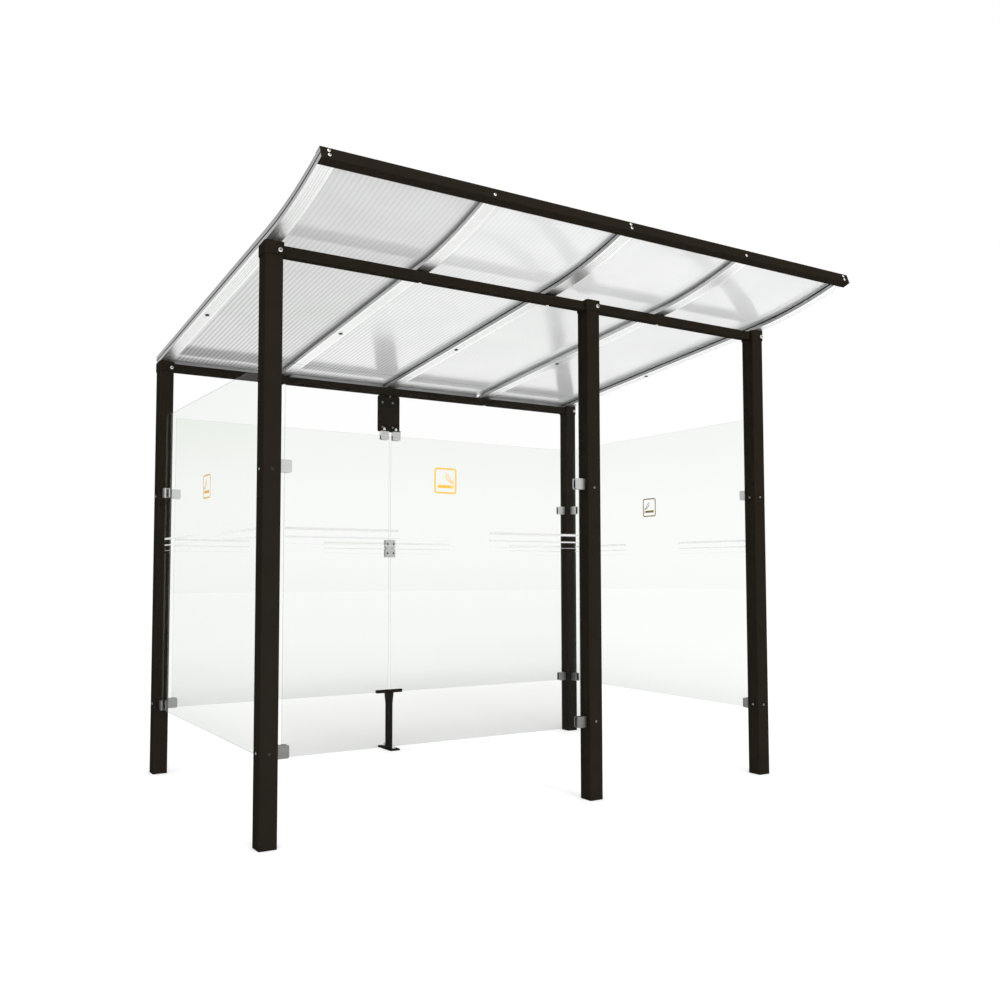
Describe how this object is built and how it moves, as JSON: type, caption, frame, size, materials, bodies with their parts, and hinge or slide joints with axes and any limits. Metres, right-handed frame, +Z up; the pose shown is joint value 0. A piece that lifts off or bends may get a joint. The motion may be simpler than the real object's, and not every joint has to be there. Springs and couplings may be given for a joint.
{
  "type": "smoking shelter",
  "caption": "Open outdoor shelter on square posts with clamped glass walls, an open entrance and a single-pitch multiwall roof that curves up at the front.",
  "frame": {"origin": "on the floor, midway across the roof and midway between its front and rear edges", "axes": "+X to the right when facing the front, +Y from the front edge to the rear, +Z up"},
  "size_m": [2.6266, 2.1254, 2.3552],
  "materials": {
    "frame": "satin",
    "roof_bar": "satin",
    "capping": "satin",
    "roof_sheet": "translucent",
    "glass": "clear",
    "gasket": "matt",
    "clamp": "satin"
  },
  "bodies": {
    "root": {"clamp_gaskets": "gasket", "clamps_front": "clamp", "clamps_left": "clamp", "clamps_rear": "clamp", "clamps_right": "clamp", "crossbeam_front_left": "frame", "crossbeam_front_right": "frame", "crossbeam_rear": "frame", "foot_gasket": "gasket", "front_edge_channel": "frame", "glass_front": "glass", "glass_left": "glass", "glass_rear_left": "glass", "glass_rear_right": "glass", "glass_right": "glass", "hanger_brackets": "frame", "hanger_plate": "frame", "post_front_left": "frame", "post_front_middle": "frame", "post_front_right": "frame", "post_rear_left": "frame", "post_rear_right": "frame", "post_sleeves": "frame", "rear_glass_foot": "frame", "roof_bar_centre": "roof_bar", "roof_bar_left_end": "roof_bar", "roof_bar_left_quarter": "roof_bar", "roof_bar_right_end": "roof_bar", "roof_bar_right_quarter": "roof_bar", "roof_capping_centre": "capping", "roof_capping_left_end": "capping", "roof_capping_left_quarter": "capping", "roof_capping_right_end": "capping", "roof_capping_right_quarter": "capping", "roof_sheet_1": "roof_sheet", "roof_sheet_2": "roof_sheet", "roof_sheet_3": "roof_sheet", "roof_sheet_4": "roof_sheet", "roof_sheet_closures": "capping"}
  },
  "joints": []
}
